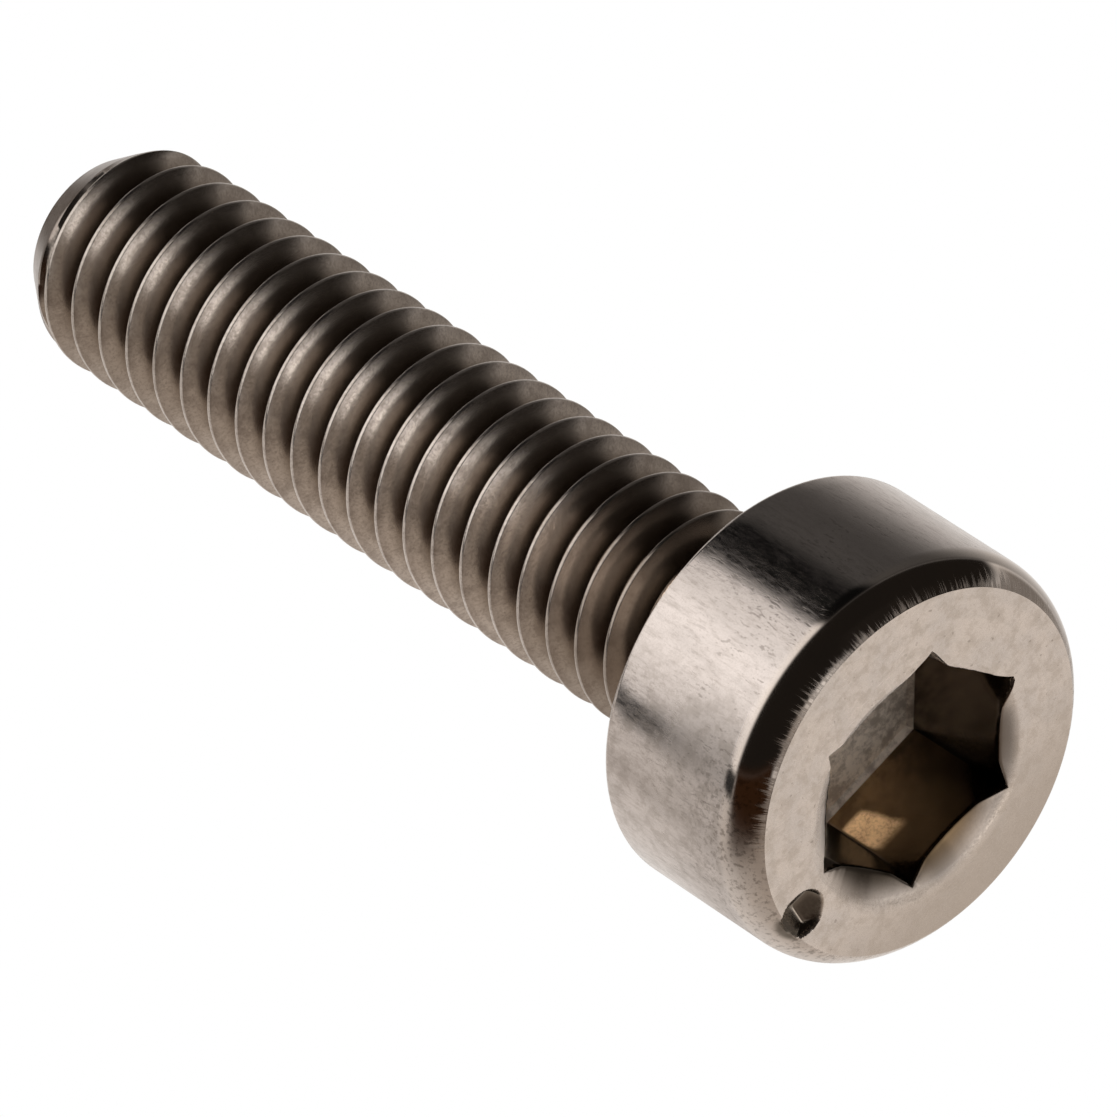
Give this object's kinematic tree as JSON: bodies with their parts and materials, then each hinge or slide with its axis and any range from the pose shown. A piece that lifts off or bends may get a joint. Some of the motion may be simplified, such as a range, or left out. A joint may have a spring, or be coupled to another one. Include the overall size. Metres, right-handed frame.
{
  "type": "hex socket cap screw",
  "caption": "Short fully threaded metal screw with a round cylindrical head and a hexagon socket, standing on its head.",
  "frame": {"origin": "centre of the head's face, at the mouth of the hexagon socket", "axes": "+Z along the screw's axis from the head's face to the tip; +X towards one corner of the hexagon"},
  "size_m": [0.007, 0.007, 0.0202],
  "materials": {
    "stainless_steel": "satin"
  },
  "bodies": {
    "root": {"cap_screw": "stainless_steel"}
  },
  "joints": []
}
